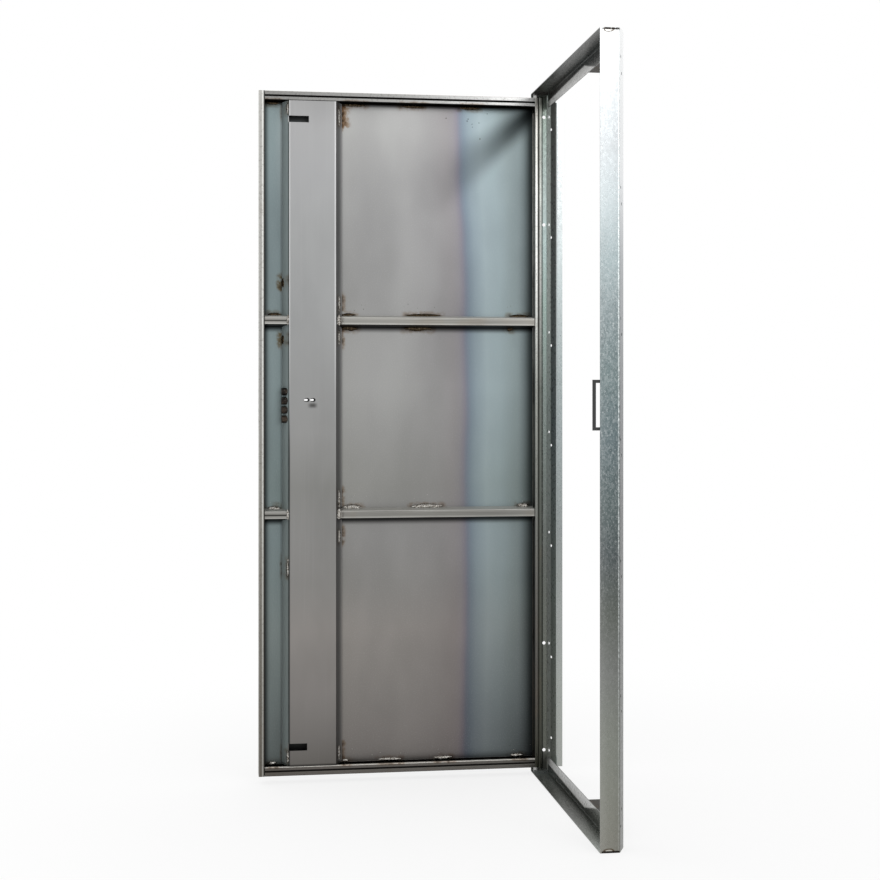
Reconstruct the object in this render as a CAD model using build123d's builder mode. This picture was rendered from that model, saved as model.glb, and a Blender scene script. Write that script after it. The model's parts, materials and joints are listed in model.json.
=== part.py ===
from build123d import *
import os

# Security door: a welded sheet steel leaf that stands open at a right angle in its folded steel frame.
# Millimetres. X runs across the doorway from the hinge side to the lock side, +Y points indoors, +Z up.
# The origin is the middle of the sill's underside.

# Frame
frame_width = 860
frame_height = 2050
frame_sheet = 2
frame_bend = 4
stop_reach = 43
stop_rake = 19.5
lip_depth = 18
lip_cutback_top = 32
lip_cutback_bottom = 22
head_stop_drop = 42
sill_stop_rise = 46
stop_end_gap = 12
relief_overlap = 4

# Holes in the jambs: groups of two in each stop, and anchor holes in the hinge jamb's web
hole_group_shares = (0.031, 0.189, 0.353, 0.501, 0.648, 0.807, 0.966)
anchor_shares = (hole_group_shares[0], hole_group_shares[1], hole_group_shares[5], hole_group_shares[6])
stop_hole_radius = 4
stop_hole_first = 10
stop_hole_second = 21
stop_hole_drop = 40
anchor_radius = 5
anchor_depth = 40

# Flat plates behind the stop, near the lock side
corner_plate_start = 336
corner_plate_length = 206
corner_plate_depth = 32
corner_plate_sheet = 4

# Bar bracket on the lock jamb
guard_height = 126
guard_middle = 1112
guard_reach = 18
guard_lap = 12
guard_bar = 8
guard_thickness = 5

# Leaf
leaf_depth = 46
edge_gap = 8.5
face_set = 2
closing_gap = 2
leaf_bottom = 23
leaf_top_gap = 21
skin_sheet = 1.5
edge_sheet = 1.5
edge_bend = 1.2
rail_outer = 12
rail_inner = 10
stile_outer = 8
stile_inner = 8
lock_rim = 17.5
rim_groove = 4
groove_depth = 6
rim_return = 12
fit_gap = 0.5

# Lock channel and its openings
channel_sheet = 1.5
channel_bend = 2.5
channel_set = 89.5
channel_face = 137
channel_rake = 20
channel_setback = 2
top_slot_length = 57
top_slot_height = 19
top_slot_drop = 81
bottom_slot_length = 52
bottom_slot_height = 21
bottom_slot_rise = 83
slot_depth = 6
keyhole_set = 149
keyhole_height = 1101
keyhole_length = 16
keyhole_width = 11
keyhole_spread = 9
skin_hole_length = 11
skin_hole_width = 6

# Bolt guide tubes in the channel's wall, in line with the bolt holes in the lock stile
guide_count = 4
guide_pitch = 27
guide_middle = 1085
guide_radius = 11
guide_bore = 9
guide_depth = 24
guide_end = 67
guide_length = 45
guide_clearance = 0.2
bolt_hole_radius = 9.5

# Stiffeners across the leaf
stiffener_sheet = 1.5
stiffener_bend = 2.5
stiffener_base = 36
stiffener_crown = 22
stiffener_setback = 6
upper_stiffener_height = 1334
lower_stiffener_height = 763
weld_gap = 0.3

# Pivots, in the leaf's outdoor hinge corner
pin_radius = 5
pin_engagement = 38
pin_chamfer = 1
collar_width = 4
collar_air = 2
washer_width = 4
washer_thickness = 2
running_clearance = 0.05
bush_wall = 1.45
bush_seat = 0.05
block_depth = 28
block_height = 40
block_wall = 1.45
block_chamfer = 0.8
plate_thickness = 6
plate_width = 28
plate_length = 42

# Sizes and places that follow from the sizes above
web_depth = face_set + leaf_depth + closing_gap
bush_radius = pin_radius + running_clearance + bush_wall
pivot_edge = edge_sheet + block_wall + bush_seat + bush_radius
pivot_face = skin_sheet + pivot_edge
outdoor_y = -web_depth / 2
rebate_y = web_depth / 2
bend_start_y = rebate_y - relief_overlap
stop_back_y = rebate_y + frame_sheet
leaf_width = frame_width - 2 * edge_gap
leaf_height = frame_height - leaf_bottom - leaf_top_gap
lip_start_y = rebate_y + stop_rake - frame_sheet
rail_rim = rail_outer + rim_groove + rail_inner
hinge_rim = stile_outer + rim_groove + stile_inner
rail_clear = rail_rim + fit_gap
hinge_clear = hinge_rim + fit_gap
lock_clear = lock_rim + fit_gap
block_width = hinge_rim - edge_sheet
channel_depth = leaf_depth - channel_setback
stiffener_depth = leaf_depth - stiffener_setback
collar_radius = pin_radius + collar_width
washer_radius = pin_radius + washer_width
pivot_x = edge_gap + pivot_edge - frame_width / 2
pivot_y = outdoor_y + face_set + pivot_face
leaf_x = pivot_x - pivot_face
hinge_edge_y = pivot_y + pivot_edge
lock_edge_y = hinge_edge_y - leaf_width
leaf_top = leaf_bottom + leaf_height

# The leaf's plan: first axis from the hinge edge to the lock edge, second axis from outdoors to indoors
leaf_plan = Plane(origin=(leaf_x, hinge_edge_y, leaf_bottom), x_dir=(0, -1, 0), z_dir=(0, 0, 1))
leaf_to_indoors = Vector(1, 0, 0)
leaf_to_hinge = Vector(0, 1, 0)
upwards = Vector(0, 0, 1)

os.makedirs("parts", exist_ok=True)


def save(part, name):
    """Label a finished piece and write it."""
    part.label = name
    export_step(part, f"parts/{name}.step")


def jamb(side, has_lip):
    """Folded jamb on one side of the doorway: web, leaning stop and, on the hinge side, a lip."""
    web_x = side * (frame_width - frame_sheet) / 2
    stop_x = side * (frame_width / 2 - stop_reach)
    section = [(web_x, outdoor_y), (web_x, rebate_y), (stop_x, rebate_y + stop_rake)]
    if has_lip:
        section.append((stop_x, rebate_y + stop_rake + lip_depth))
    lean = Vector(stop_x - web_x, stop_rake, 0)
    stop_face = Plane(origin=(web_x, rebate_y, 0), x_dir=lean, z_dir=lean.cross(upwards))
    lowest = min(hole_group_shares)
    with BuildPart() as jamb_part:
        with BuildSketch():
            with BuildLine():
                FilletPolyline(*section, radius=frame_bend)
            trace(line_width=frame_sheet)
        extrude(amount=frame_height)
        with BuildSketch(stop_face):
            for share in hole_group_shares:
                drop = -stop_hole_drop if share == lowest else stop_hole_drop
                with Locations((stop_hole_first, share * frame_height)):
                    Circle(stop_hole_radius)
                with Locations((stop_hole_second, share * frame_height - drop)):
                    Circle(stop_hole_radius)
        extrude(amount=frame_sheet, both=True, mode=Mode.SUBTRACT)
        if has_lip:
            for level, height in ((0, lip_cutback_bottom), (frame_height - lip_cutback_top, lip_cutback_top)):
                with BuildSketch(Plane.XY.offset(level)):
                    with Locations((stop_x, lip_start_y)):
                        Rectangle(2 * frame_bend, 2 * lip_depth, align=(Align.CENTER, Align.MIN))
                extrude(amount=height, mode=Mode.SUBTRACT)
            with BuildSketch(Plane.YZ.offset(web_x)):
                for share in anchor_shares:
                    with Locations((outdoor_y + anchor_depth, share * frame_height)):
                        Circle(anchor_radius)
            extrude(amount=frame_sheet, both=True, mode=Mode.SUBTRACT)
    return jamb_part.part


def cross_rail(web_z, stop_z):
    """Head or sill: a web between the jambs and an upright stop, with a relief notch at each end."""
    length = frame_width - 2 * frame_sheet
    stop_y = rebate_y + frame_sheet / 2
    with BuildPart() as rail:
        with BuildSketch(Plane.YZ.offset(-length / 2)):
            with BuildLine():
                FilletPolyline((outdoor_y, web_z), (stop_y, web_z), (stop_y, stop_z), radius=frame_bend)
            trace(line_width=frame_sheet)
        extrude(amount=length)
        for end in (-1, 1):
            with Locations((end * frame_width / 2, bend_start_y, web_z)):
                Box(
                    2 * stop_end_gap, web_depth, 2 * web_depth + 2 * frame_sheet,
                    align=(Align.CENTER, Align.MIN, Align.CENTER), mode=Mode.SUBTRACT,
                )
    return rail.part


save(jamb(-1, True), "hinge_jamb")
save(jamb(1, False), "lock_jamb")
save(cross_rail(frame_height - frame_sheet / 2, frame_height - head_stop_drop), "head")
save(cross_rail(frame_sheet / 2, sill_stop_rise), "sill")

corner_plate_levels = {
    "upper_corner_plate": frame_height - head_stop_drop,
    "lower_corner_plate": sill_stop_rise - corner_plate_sheet,
}
for plate_name, level in corner_plate_levels.items():
    with BuildPart() as corner_plate:
        with BuildSketch(Plane.XY.offset(level)):
            with Locations((frame_width / 2 - corner_plate_start, stop_back_y)):
                Rectangle(corner_plate_length, corner_plate_depth, align=(Align.MIN, Align.MIN))
        extrude(amount=corner_plate_sheet)
    save(corner_plate.part, plate_name)

# Black bar bracket: a U of flat bar, lapped on the inside of the lock jamb's web
with BuildPart() as lock_guard:
    with BuildSketch(Plane.YZ.offset(frame_width / 2 - frame_sheet)):
        with Locations((outdoor_y - guard_reach, guard_middle)):
            Rectangle(guard_reach + guard_lap, guard_height, align=(Align.MIN, Align.CENTER))
        with Locations((outdoor_y - guard_reach + guard_bar, guard_middle)):
            Rectangle(
                guard_reach + guard_lap, guard_height - 2 * guard_bar,
                align=(Align.MIN, Align.CENTER), mode=Mode.SUBTRACT,
            )
    extrude(amount=-guard_thickness)
save(lock_guard.part, "lock_guard")

# Outdoor face sheet of the leaf, with the double keyhole through it
channel_front = Plane(
    origin=(leaf_x + channel_depth, hinge_edge_y, leaf_bottom), x_dir=(0, -1, 0), z_dir=(-1, 0, 0)
)
keyhole_place = (leaf_width - keyhole_set, keyhole_height)
with BuildPart() as leaf_skin:
    with BuildSketch(leaf_plan):
        Rectangle(leaf_width, skin_sheet, align=(Align.MIN, Align.MIN))
    extrude(amount=leaf_height)
    with BuildSketch(channel_front):
        with Locations(keyhole_place):
            with GridLocations(2 * keyhole_spread, 0, 2, 1):
                SlotOverall(skin_hole_length, skin_hole_width)
    extrude(amount=leaf_depth, mode=Mode.SUBTRACT)
save(leaf_skin.part, "leaf_skin")

flange_level = skin_sheet + edge_sheet / 2
rim_level = leaf_depth - edge_sheet / 2


def plain_section(width):
    """Middle line of the lock stile's profile: flange, edge, rim and return."""
    return_place = width - edge_sheet / 2
    return [
        (width, flange_level),
        (edge_sheet / 2, flange_level),
        (edge_sheet / 2, rim_level),
        (return_place, rim_level),
        (return_place, rim_level - rim_return),
    ]


def grooved_section(outer, inner):
    """Middle line of the rolled profile with a seal groove between the two strips of its rim."""
    width = outer + rim_groove + inner
    groove_near = outer - edge_sheet / 2
    groove_far = outer + rim_groove + edge_sheet / 2
    return_place = width - edge_sheet / 2
    return [
        (width, flange_level),
        (edge_sheet / 2, flange_level),
        (edge_sheet / 2, rim_level),
        (groove_near, rim_level),
        (groove_near, rim_level - groove_depth),
        (groove_far, rim_level - groove_depth),
        (groove_far, rim_level),
        (return_place, rim_level),
        (return_place, rim_level - rim_return),
    ]


def edge_bar(start, along, length, section):
    """Bar of an edge profile that runs along the leaf's outline from a place on it."""
    inward = leaf_to_indoors.cross(along)
    with BuildPart() as bar:
        with BuildSketch(Plane(origin=start, x_dir=inward, z_dir=along)):
            with BuildLine():
                FilletPolyline(*section, radius=edge_bend)
            trace(line_width=edge_sheet)
        extrude(amount=length)
    return bar.part


hinge_foot = Vector(leaf_x, hinge_edge_y, leaf_bottom)
hinge_top = Vector(leaf_x, hinge_edge_y, leaf_top)
lock_top = Vector(leaf_x, lock_edge_y, leaf_top)
lock_foot = Vector(leaf_x, lock_edge_y, leaf_bottom)
guide_heights = [guide_middle + (row - (guide_count - 1) / 2) * guide_pitch for row in range(guide_count)]

# The stiles run the whole height and the rails fit between them
save(edge_bar(hinge_foot, upwards, leaf_height, grooved_section(stile_outer, stile_inner)), "hinge_stile")
rail_length = leaf_width - hinge_clear - lock_clear
rail_section = grooved_section(rail_outer, rail_inner)
save(edge_bar(hinge_top - leaf_to_hinge * hinge_clear, -leaf_to_hinge, rail_length, rail_section), "top_rail")
save(edge_bar(lock_foot + leaf_to_hinge * lock_clear, leaf_to_hinge, rail_length, rail_section), "bottom_rail")

# The lock stile has a row of bolt holes in its edge
lock_edge_face = Plane(origin=lock_foot, x_dir=leaf_to_indoors, z_dir=-leaf_to_hinge)
with BuildPart() as lock_stile:
    add(edge_bar(lock_top, -upwards, leaf_height, plain_section(lock_rim)))
    with BuildSketch(lock_edge_face):
        with Locations(*[(guide_depth, height) for height in guide_heights]):
            Circle(bolt_hole_radius)
    extrude(amount=2 * edge_sheet, both=True, mode=Mode.SUBTRACT)
save(lock_stile.part, "lock_stile")

# Lock channel: a trapezoid of sheet with its open side on the skin, between the two rails
channel_near = leaf_width - channel_set
channel_far = channel_near - channel_face
channel_level = channel_depth - channel_sheet / 2
channel_height = leaf_height - 2 * rail_clear
with BuildPart() as lock_channel:
    with BuildSketch(leaf_plan.offset(rail_clear)):
        with BuildLine():
            FilletPolyline(
                (channel_near + channel_rake, 0), (channel_near, channel_level),
                (channel_far, channel_level), (channel_far - channel_rake, 0), radius=channel_bend,
            )
        trace(line_width=channel_sheet)
        with Locations((leaf_width / 2, skin_sheet)):
            Rectangle(leaf_width, leaf_depth, align=(Align.CENTER, Align.MAX), mode=Mode.SUBTRACT)
    extrude(amount=channel_height)
    with BuildSketch(channel_front):
        with Locations((channel_near, leaf_height - top_slot_drop)):
            Rectangle(2 * top_slot_length, top_slot_height)
        with Locations((channel_near, bottom_slot_rise)):
            Rectangle(2 * bottom_slot_length, bottom_slot_height)
    extrude(amount=slot_depth, mode=Mode.SUBTRACT)
    with BuildSketch(channel_front):
        with Locations(keyhole_place):
            with GridLocations(2 * keyhole_spread, 0, 2, 1):
                SlotOverall(keyhole_length, keyhole_width)
    extrude(amount=slot_depth, mode=Mode.SUBTRACT)
    with BuildSketch(lock_edge_face.offset(-guide_end)):
        with Locations(*[(guide_depth, height) for height in guide_heights]):
            Circle(guide_radius + guide_clearance)
    extrude(amount=-guide_length, mode=Mode.SUBTRACT)
save(lock_channel.part, "lock_channel")

# Short tubes that guide the bolts out of the channel
for number, height in enumerate(guide_heights, start=1):
    with BuildPart() as bolt_guide:
        with BuildSketch(lock_edge_face.offset(-guide_end)):
            with Locations((guide_depth, height)):
                Circle(guide_radius)
                Circle(guide_bore, mode=Mode.SUBTRACT)
        extrude(amount=-guide_length)
    save(bolt_guide.part, f"bolt_guide_{number}")


def channel_side(corner, lean):
    """Plane just outside one leaning wall of the channel, facing away from it."""
    wall = Vector(lean * channel_rake, -channel_level)
    facing = Vector(-wall.Y * lean, wall.X * lean).normalized()
    place = Vector(corner, channel_level) + facing * (channel_sheet / 2 + weld_gap)
    outward = leaf_plan.x_dir * facing.X + leaf_plan.y_dir * facing.Y
    return Plane(origin=leaf_plan.from_local_coords(place), z_dir=outward)


def stiffener(height, lock_end, hinge_end, side):
    """Folded cross stiffener on the skin, its end cut to the channel's leaning wall."""
    half_base = (stiffener_base - stiffener_sheet) / 2
    half_crown = stiffener_crown / 2
    crown_level = stiffener_depth - stiffener_sheet / 2
    end_face = Plane(
        origin=(leaf_x, hinge_edge_y - lock_end, leaf_bottom + height), x_dir=upwards, z_dir=leaf_to_hinge
    )
    with BuildPart() as bar:
        with BuildSketch(end_face):
            with BuildLine():
                FilletPolyline(
                    (-half_base, 0), (-half_crown, crown_level), (half_crown, crown_level), (half_base, 0),
                    radius=stiffener_bend,
                )
            trace(line_width=stiffener_sheet)
            with Locations((0, skin_sheet)):
                Rectangle(2 * stiffener_base, leaf_depth, align=(Align.CENTER, Align.MAX), mode=Mode.SUBTRACT)
        extrude(amount=lock_end - hinge_end)
        split(bisect_by=side, keep=Keep.TOP)
    return bar.part


hinge_side = channel_side(channel_far, -1)
lock_side = channel_side(channel_near, 1)
for level_name, height in (("upper", upper_stiffener_height), ("lower", lower_stiffener_height)):
    save(stiffener(height, channel_far, hinge_clear, hinge_side), f"{level_name}_stiffener")
    save(
        stiffener(height, leaf_width - lock_clear, channel_near, lock_side),
        f"{level_name}_short_stiffener",
    )

# Pivots: a welded plate and a turned pin on the sill and under the head, a block and a bush in the leaf
pivot_axis = Axis((pivot_x, pivot_y, 0), (0, 0, 1))
pin_plane = Plane(origin=(pivot_x, pivot_y, 0), x_dir=(1, 0, 0), z_dir=(0, -1, 0))
pivot_levels = {
    "bottom": (frame_sheet, leaf_bottom - washer_thickness, leaf_bottom, 1),
    "top": (frame_height - frame_sheet, leaf_top + collar_air, leaf_top, -1),
}
for pivot_name, (web_level, collar_end, leaf_end, rise) in pivot_levels.items():
    plate_end = web_level + rise * plate_thickness
    tip = leaf_end + rise * pin_engagement
    with BuildPart() as pivot_plate:
        with BuildSketch(Plane.XY.offset(web_level)):
            with Locations((pivot_x, 0)):
                Rectangle(plate_width, plate_length)
            with Locations((pivot_x, pivot_y)):
                Circle(pin_radius, mode=Mode.SUBTRACT)
        extrude(amount=rise * plate_thickness)
    save(pivot_plate.part, f"{pivot_name}_pivot_plate")

    with BuildPart() as pivot_pin:
        with BuildSketch(pin_plane):
            with BuildLine():
                Polyline(
                    (0, web_level), (pin_radius, web_level), (pin_radius, plate_end),
                    (collar_radius, plate_end), (collar_radius, collar_end), (pin_radius, collar_end),
                    (pin_radius, tip - rise * pin_chamfer), (pin_radius - pin_chamfer, tip), (0, tip),
                    close=True,
                )
            make_face()
        revolve(axis=pivot_axis)
    save(pivot_pin.part, f"{pivot_name}_pivot_pin")

    block_foot = 0 if rise > 0 else leaf_height - block_height
    with BuildPart() as pivot_block:
        with BuildSketch(leaf_plan.offset(block_foot)):
            with Locations((edge_sheet, skin_sheet + edge_sheet)):
                Rectangle(block_width, block_depth, align=(Align.MIN, Align.MIN))
            with Locations((pivot_edge, pivot_face)):
                Circle(bush_radius + bush_seat, mode=Mode.SUBTRACT)
        extrude(amount=block_height)
        chamfer(pivot_block.edges().filter_by(GeomType.LINE), length=block_chamfer)
    save(pivot_block.part, f"{pivot_name}_pivot_block")

    with BuildPart() as pivot_bush:
        with BuildSketch(leaf_plan.offset(block_foot)):
            with Locations((pivot_edge, pivot_face)):
                Circle(bush_radius)
                Circle(pin_radius + running_clearance, mode=Mode.SUBTRACT)
        extrude(amount=block_height)
    save(pivot_bush.part, f"{pivot_name}_pivot_bush")

with BuildPart() as thrust_washer:
    with BuildSketch(Plane.XY.offset(leaf_bottom - washer_thickness)):
        with Locations((pivot_x, pivot_y)):
            Circle(washer_radius)
            Circle(pin_radius + running_clearance, mode=Mode.SUBTRACT)
    extrude(amount=washer_thickness)
save(thrust_washer.part, "thrust_washer")
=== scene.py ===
import json
import math
import random

import bpy
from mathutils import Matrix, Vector


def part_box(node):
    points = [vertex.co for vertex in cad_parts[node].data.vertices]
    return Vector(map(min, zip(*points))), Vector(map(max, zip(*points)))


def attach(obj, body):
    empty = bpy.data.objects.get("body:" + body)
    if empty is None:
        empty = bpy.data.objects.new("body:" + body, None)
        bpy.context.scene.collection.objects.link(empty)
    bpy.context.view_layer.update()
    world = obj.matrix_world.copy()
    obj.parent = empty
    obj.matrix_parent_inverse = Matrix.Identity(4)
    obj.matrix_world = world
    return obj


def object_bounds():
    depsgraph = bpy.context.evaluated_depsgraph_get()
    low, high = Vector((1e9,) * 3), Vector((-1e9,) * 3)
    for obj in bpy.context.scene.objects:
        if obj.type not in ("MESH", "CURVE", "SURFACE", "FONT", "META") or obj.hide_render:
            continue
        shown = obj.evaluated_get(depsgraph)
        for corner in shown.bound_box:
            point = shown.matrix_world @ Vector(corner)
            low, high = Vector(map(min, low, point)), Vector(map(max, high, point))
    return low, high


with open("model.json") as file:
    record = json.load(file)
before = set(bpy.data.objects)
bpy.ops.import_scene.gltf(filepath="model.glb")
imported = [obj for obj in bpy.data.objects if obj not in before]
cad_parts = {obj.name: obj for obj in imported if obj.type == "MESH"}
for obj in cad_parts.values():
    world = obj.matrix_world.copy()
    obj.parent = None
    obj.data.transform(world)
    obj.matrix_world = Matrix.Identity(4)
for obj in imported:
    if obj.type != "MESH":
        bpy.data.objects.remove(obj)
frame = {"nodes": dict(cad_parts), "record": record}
cad_low, cad_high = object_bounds()
nodes = frame["nodes"]

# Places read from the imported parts, in metres
hinge_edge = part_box("hinge_stile")[1].y
free_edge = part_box("lock_stile")[0].y
leaf_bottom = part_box("bottom_rail")[0].z
leaf_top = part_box("top_rail")[1].z
sheet_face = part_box("leaf_skin")[1].x
frame_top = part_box("head")[1].z
channel_low, channel_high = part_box("lock_channel")
channel_middle = (channel_low.y + channel_high.y) / 2
top_rail_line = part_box("top_rail")[0].z
bottom_rail_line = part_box("bottom_rail")[1].z
upper_stiffener_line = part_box("upper_stiffener")[1].z
under_stiffener_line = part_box("upper_stiffener")[0].z
lower_stiffener_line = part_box("lower_stiffener")[1].z

# Bends between the channel's face and its two leaning walls
bend_inset = 0.020
free_bend = channel_low.y + bend_inset
hinge_bend = channel_high.y - bend_inset
wall_lean = bend_inset / (channel_high.x - channel_low.x)

# Groove of the rolled profiles: half its width, and how far inside the leaf's edge it lies on the rails
groove_half = 0.0019
rail_groove_inset = 0.014

# Camera, worked out from the photograph's perspective; its turn is measured from -X towards +Y
image_size = 880
focal_pixels = 1550.5
horizon_row = 398
camera_place = (4.1797, -0.9624, 1.1297)
camera_turn_deg = 8.14
sensor = 36.0

# Tones named by their grey level
BLACK = 0.0
WHITE = 1.0

# Levels between which nearly all of a noise lies, and its middle
noise_low = 0.3
noise_high = 0.7
noise_middle = 0.5

# Places of the Mix node's colour sockets
mix_below = 6
mix_above = 7
mix_result = 2


def rgb(code):
    """Linear colour with alpha of an sRGB hex code."""
    parts = [int(code[i:i + 2], 16) / 255 for i in (0, 2, 4)]
    linear = [p / 12.92 if p <= 0.04045 else ((p + 0.055) / 1.055) ** 2.4 for p in parts]
    return (*linear, 1.0)


def grey(level):
    """Neutral linear colour."""
    return (level, level, level, 1.0)


def as_colour(tone):
    """Colour of a hex code or of a grey level. Anything else is a colour or a socket and stays as it is."""
    if isinstance(tone, str):
        return rgb(tone)
    if isinstance(tone, float):
        return grey(tone)
    return tone


class Look:
    """A procedural material, built up node by node. Most methods return the socket with their result."""

    def __init__(self, name, metallic=1.0):
        self.material = bpy.data.materials.new(name)
        self.material.use_nodes = True
        self.nodes = self.material.node_tree.nodes
        self.links = self.material.node_tree.links
        self.shader = self.nodes["Principled BSDF"]
        self.shader.inputs["Metallic"].default_value = metallic
        coordinates = self.nodes.new("ShaderNodeTexCoord")
        self.place = coordinates.outputs["Object"]
        self.x, self.y, self.z = self.split(self.place)
        # The parts of the surface's direction turn with the body
        self.facing_x, self.facing_y, self.facing_z = self.split(coordinates.outputs["Normal"])

    def feed(self, socket, value):
        """Links a socket to another, or sets it to a value."""
        if isinstance(value, bpy.types.NodeSocket):
            self.links.new(value, socket)
        else:
            socket.default_value = value

    def split(self, vector):
        """The three parts of a vector."""
        made = self.nodes.new("ShaderNodeSeparateXYZ")
        self.feed(made.inputs[0], vector)
        return made.outputs[0], made.outputs[1], made.outputs[2]

    def maths(self, operation, first, second=0.0):
        made = self.nodes.new("ShaderNodeMath")
        made.operation = operation
        self.feed(made.inputs[0], first)
        self.feed(made.inputs[1], second)
        return made.outputs[0]

    def plus(self, first, second):
        return self.maths("ADD", first, second)

    def minus(self, first, second):
        return self.maths("SUBTRACT", first, second)

    def times(self, first, *others):
        """Product of values. A product of masks is one only where all of them are."""
        for other in others:
            first = self.maths("MULTIPLY", first, other)
        return first

    def larger(self, first, second):
        return self.maths("MAXIMUM", first, second)

    def gap(self, value, line):
        """Distance of a value from a line, on either side."""
        return self.maths("ABSOLUTE", self.minus(value, line))

    def length(self, first, second):
        """Length of two parts at right angles."""
        return self.maths("SQRT", self.plus(self.times(first, first), self.times(second, second)))

    def fade(self, value, low, high, to_low=0.0, to_high=1.0, smooth=True):
        """Goes from to_low where value is low to to_high where it is high, and stays there beyond."""
        made = self.nodes.new("ShaderNodeMapRange")
        made.interpolation_type = "SMOOTHSTEP" if smooth else "LINEAR"
        for socket, number in zip(made.inputs, (value, low, high, to_low, to_high)):
            self.feed(socket, number)
        return made.outputs[0]

    def share(self, value, start, end, at_start=0.0, at_end=1.0):
        """Runs evenly from at_start to at_end as the value goes from start to end."""
        return self.fade(value, start, end, at_start, at_end, smooth=False)

    def spread(self, noise, low, high):
        """Spreads a noise between two levels."""
        return self.fade(noise, noise_low, noise_high, low, high)

    def band(self, value, line, half, soft):
        """One within half of a line, fading out over soft beyond it."""
        return self.fade(self.gap(value, line), half + soft, half)

    def ramp(self, share, stops):
        """Colour that runs through the stops, each a share and a tone."""
        stops = [(at, as_colour(tone)) for at, tone in stops]
        made = self.nodes.new("ShaderNodeValToRGB")
        self.feed(made.inputs[0], share)
        band = made.color_ramp.elements
        band[0].position, band[0].color = stops[0]
        band[1].position, band[1].color = stops[-1]
        for at, colour in stops[1:-1]:
            band.new(at).color = colour
        return made.outputs[0]

    def mix(self, below, above, factor, blend="MIX"):
        """Lays one tone over another, as strongly as the factor says."""
        made = self.nodes.new("ShaderNodeMix")
        made.data_type = "RGBA"
        made.blend_type = blend
        self.feed(made.inputs[0], factor)
        self.feed(made.inputs[mix_below], as_colour(below))
        self.feed(made.inputs[mix_above], as_colour(above))
        return made.outputs[mix_result]

    def scaled(self, stretch):
        """Places on the surface, stretched along the axes."""
        made = self.nodes.new("ShaderNodeMapping")
        self.feed(made.inputs["Vector"], self.place)
        made.inputs["Scale"].default_value = stretch
        return made.outputs[0]

    def noise(self, scale, detail=2.0, rough=0.5, stretch=(1, 1, 1)):
        made = self.nodes.new("ShaderNodeTexNoise")
        self.feed(made.inputs["Vector"], self.scaled(stretch))
        made.inputs["Scale"].default_value = scale
        made.inputs["Detail"].default_value = detail
        made.inputs["Roughness"].default_value = rough
        return made.outputs[0]

    def cells(self, scale, stretch=(1, 1, 1)):
        """Random level of each cell and the distance from its middle."""
        made = self.nodes.new("ShaderNodeTexVoronoi")
        self.feed(made.inputs["Vector"], self.scaled(stretch))
        made.inputs["Scale"].default_value = scale
        return self.split(made.outputs["Color"])[0], made.outputs["Distance"]

    def along_width(self):
        """Share of the leaf's width, from the hinge edge to the free edge."""
        return self.share(self.y, hinge_edge, free_edge)

    def along_height(self):
        """Share of the leaf's height, from its bottom to its top."""
        return self.share(self.z, leaf_bottom, leaf_top)

    def run_mask(self, along, across, runs, line, reach, soft):
        """One inside each run of a line, fading out over soft along it and over reach across it."""
        start = min(run[0] for run in runs) - 2 * soft
        end = max(run[1] for run in runs) + 2 * soft
        stops = [(0.0, BLACK)]
        for low, high in sorted(runs):
            for at, level in ((low - soft, BLACK), (low, WHITE), (high, WHITE), (high + soft, BLACK)):
                stops.append(((at - start) / (end - start), level))
        stops.append((1.0, BLACK))
        inside = self.ramp(self.share(along, start, end), stops)
        return self.times(inside, self.fade(self.gap(across, line), reach, 0.0))

    def shade_line(self, colour, value, line, reach, strength):
        """Darkens the colour towards a line: painted shade along an edge."""
        return self.mix(colour, BLACK, self.fade(self.gap(value, line), reach, 0.0, 0.0, strength))

    def bump(self, height, strength, distance):
        made = self.nodes.new("ShaderNodeBump")
        made.inputs["Strength"].default_value = strength
        made.inputs["Distance"].default_value = distance
        self.feed(made.inputs["Height"], height)
        self.links.new(made.outputs[0], self.shader.inputs["Normal"])

    def finish(self, colour, roughness, metallic=None):
        """Sets the shader's main sockets and returns the material."""
        self.feed(self.shader.inputs["Base Color"], colour)
        self.feed(self.shader.inputs["Roughness"], roughness)
        if metallic is not None:
            self.feed(self.shader.inputs["Metallic"], metallic)
        return self.material


# Weld runs: start and end along the leaf's width, in metres of Y
upper_stiffener_runs = [(-0.600, -0.558), (-0.407, -0.302), (-0.094, -0.034)]
under_stiffener_runs = [(-0.600, -0.553), (-0.413, -0.329), (-0.100, -0.082)]
lower_stiffener_runs = [(-0.598, -0.542), (-0.391, -0.298), (-0.070, -0.032)]
short_stiffener_runs = [(-0.818, -0.780)]
top_rail_runs = [(-0.822, -0.784), (-0.598, -0.529), (-0.423, -0.350), (-0.246, -0.183)]
bottom_rail_runs = [
    (-0.815, -0.792), (-0.598, -0.579), (-0.490, -0.422), (-0.324, -0.268),
    (-0.090, -0.052),
]
# The same along the height of the channel's walls, in metres of Z
free_bend_runs = [(0.056, 0.094), (0.603, 0.659), (1.960, 1.996)]
free_foot_runs = [(1.288, 1.316), (1.456, 1.484)]
hinge_bend_runs = [
    (0.056, 0.103), (0.700, 0.740), (0.800, 0.857), (1.287, 1.330),
    (1.385, 1.430), (1.934, 1.990),
]

# Painted reflections across the sheet, in blue bands along both sides, as shares of the leaf's width from its
# hinge edge
reflection_bands_across = [
    (0.000, "8d9b9c"), (0.060, "98a6a8"), (0.095, "a5b4b6"), (0.140, "b7c8cc"),
    (0.190, "c0d1d6"), (0.230, "aebfc8"), (0.250, "9dadba"), (0.262, "9aa2b1"),
    (0.273, "a6a3ae"), (0.288, "b0adb1"), (0.310, "b3b0b1"), (0.370, "b7b6b6"),
    (0.500, "bebebd"), (0.620, "bbbbba"), (0.710, "b9b9b7"), (0.850, "a5abab"),
    (0.920, "93a2a4"), (0.955, "9cacae"), (1.000, "8c999b"),
]
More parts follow.
